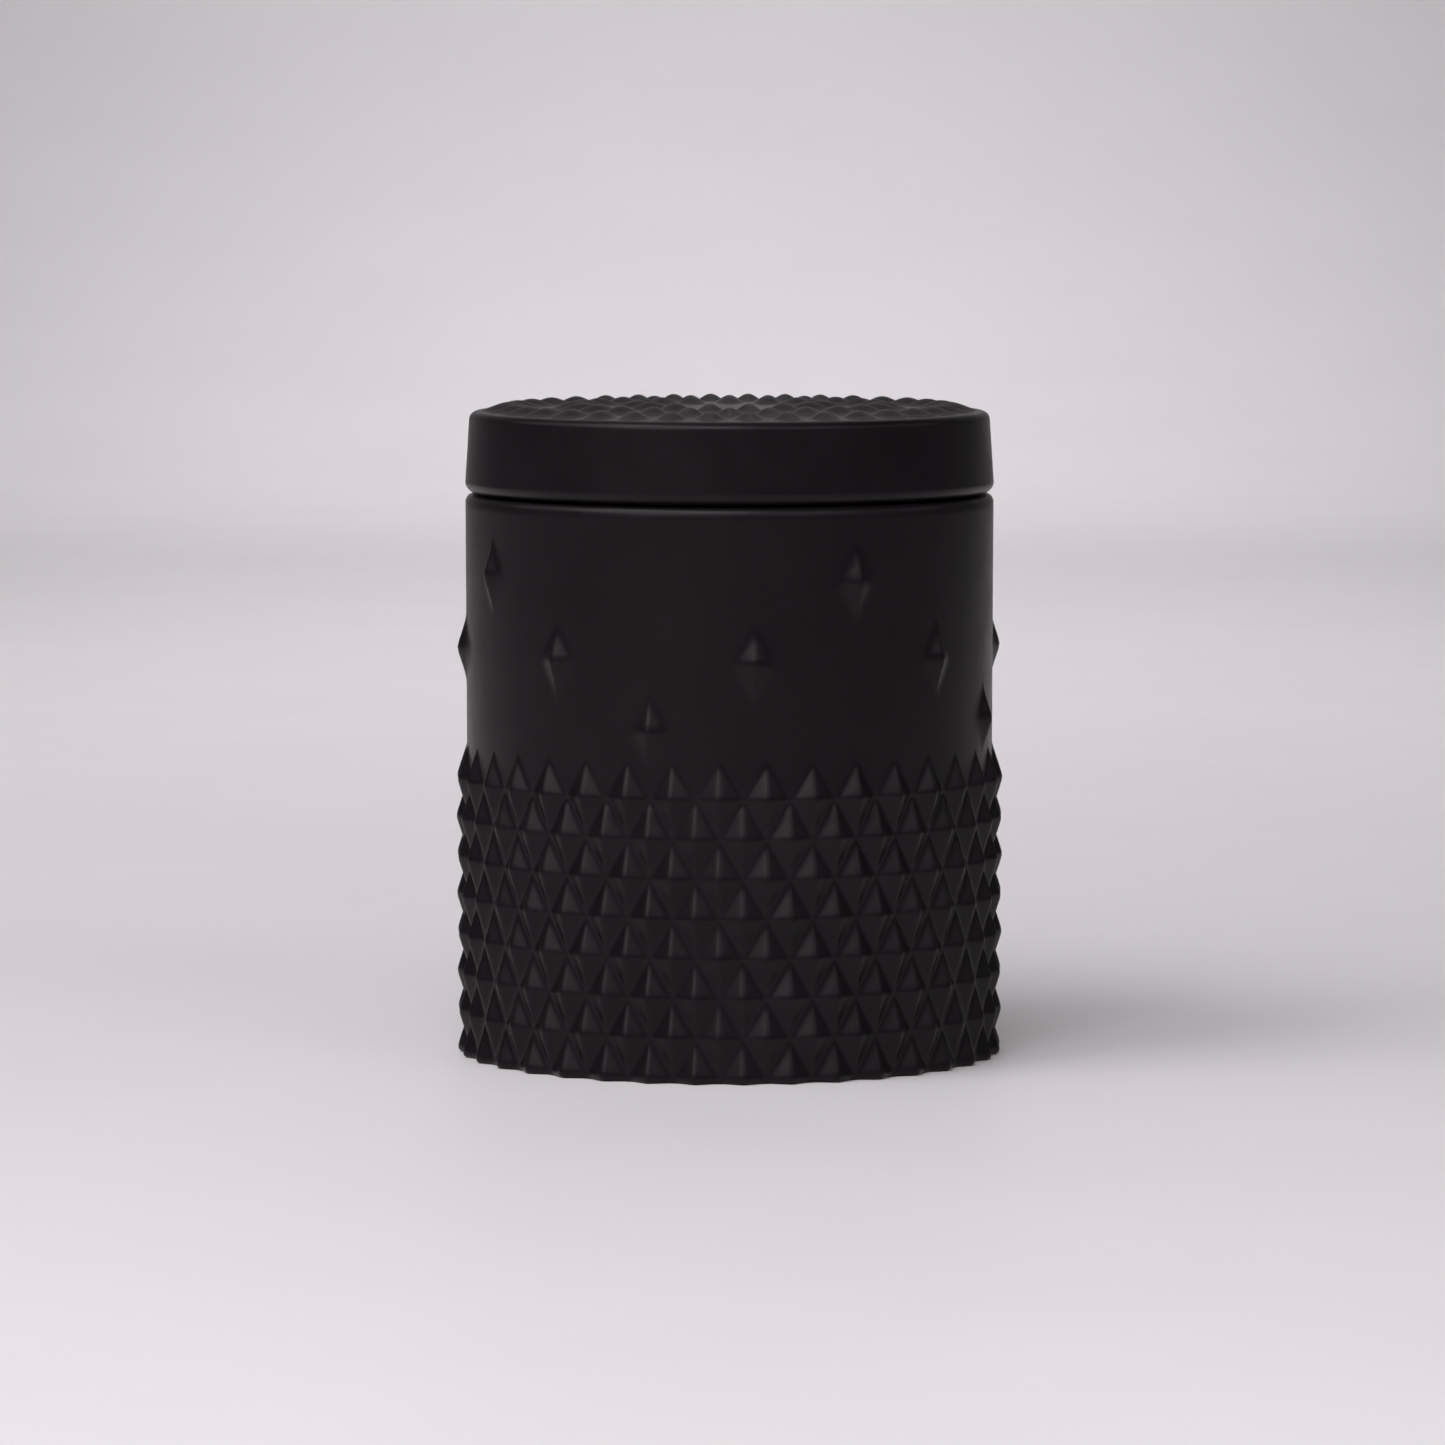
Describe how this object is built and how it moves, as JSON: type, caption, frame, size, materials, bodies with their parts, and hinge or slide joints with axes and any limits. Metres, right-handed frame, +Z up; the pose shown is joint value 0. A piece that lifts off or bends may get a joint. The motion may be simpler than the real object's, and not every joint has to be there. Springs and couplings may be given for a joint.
{
  "type": "candle jar",
  "caption": "Round glass candle jar with a lift-off lid and seal ring: smooth upper wall with scattered raised studs, lower half tiled with diamond-shaped pyramid studs.",
  "frame": {"origin": "centre of the jar's base, on the surface that it stands on", "axes": "+Z up along the jar's axis, towards the lid; -Y is the side that the picture shows"},
  "size_m": [0.083, 0.083, 0.0994],
  "materials": {
    "jar_glass": "black, spray-coated matt outside",
    "lid_glass": "black, spray-coated matt outside",
    "silicone": "clouded silicone"
  },
  "bodies": {
    "jar": {"jar": "jar_glass"},
    "seal": {"seal_ring": "silicone"},
    "lid": {"lid": "lid_glass"}
  },
  "joints": [
    {"name": "lid_lift", "type": "slide", "parent": "jar", "child": "seal", "axis": [0, 0, 1], "range_m": [0, 0.06]},
    {"name": "lid_turn", "type": "hinge", "parent": "seal", "child": "lid", "pos_m": [0, 0, 0.0815], "axis": [0, 0, 1], "continuous": true}
  ]
}
